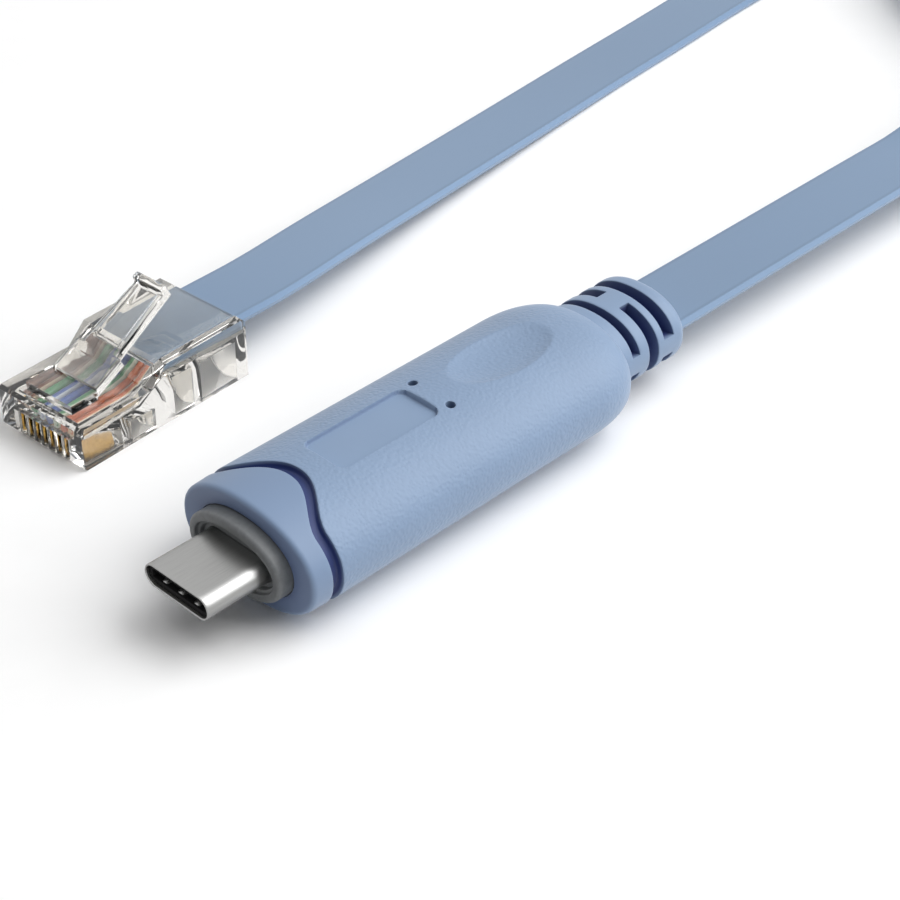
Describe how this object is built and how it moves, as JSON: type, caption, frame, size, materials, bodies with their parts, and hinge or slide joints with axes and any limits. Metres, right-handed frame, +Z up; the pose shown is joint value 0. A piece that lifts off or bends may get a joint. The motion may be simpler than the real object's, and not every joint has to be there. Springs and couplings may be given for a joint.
{
  "type": "rj45 console cable",
  "caption": "Flat light blue serial console lead: a moulded USB-C converter housing with slotted strain relief at one end and a clear modular plug with its latch at the other.",
  "frame": {"origin": "on the surface the lead lies on, under the middle of the housing and its USB-C plug", "axes": "+X along the housing from its USB-C plug towards the lead, +Z up from the surface, the modular plug lies on the +Y side"},
  "size_m": [0.2318, 0.0992, 0.0121],
  "materials": {
    "overmould": "fine pebble grain, light blue flexible PVC",
    "lead_jacket": "smooth extruded light blue PVC",
    "collar": "smooth grey moulding",
    "steel": "bright drawn steel",
    "black_resin": "black moulded resin",
    "gold": "gold plate",
    "tie": "black coated wire tie",
    "clear_plastic": "clear moulded polycarbonate",
    "core_white_orange": "extruded wire insulation",
    "core_orange": "extruded wire insulation",
    "core_white_green": "extruded wire insulation",
    "core_blue": "extruded wire insulation",
    "core_white_blue": "extruded wire insulation",
    "core_green": "extruded wire insulation",
    "core_white_brown": "extruded wire insulation",
    "core_brown": "extruded wire insulation"
  },
  "bodies": {
    "lead": {"housing": "overmould", "plug_collar": "collar", "usb_c_shell": "steel", "usb_c_insert": "black_resin", "ground_spring_lower": "steel", "ground_spring_upper": "steel", "lead_housing_stretch": "lead_jacket", "lead_coil": "lead_jacket", "lead_coil_fold": "lead_jacket", "lead_plug_stretch": "lead_jacket", "coil_tie": "tie", "modular_plug_body": "clear_plastic", "contact_blade_1": "gold", "contact_blade_2": "gold", "contact_blade_3": "gold", "contact_blade_4": "gold", "contact_blade_5": "gold", "contact_blade_6": "gold", "contact_blade_7": "gold", "contact_blade_8": "gold", "core_1": "core_white_orange", "core_2": "core_orange", "core_3": "core_white_green", "core_4": "core_blue", "core_5": "core_white_blue", "core_6": "core_green", "core_7": "core_white_brown", "core_8": "core_brown"},
    "latch": {"modular_plug_latch": "clear_plastic"}
  },
  "joints": [
    {"name": "latch_press", "type": "hinge", "parent": "lead", "child": "latch", "pos_m": [-0.01646, 0.03079, 0.0048], "axis": [-0.061, 0.9981, 0], "range_deg": [0, 9], "stiffness_Nm_per_rad": 0.2}
  ]
}
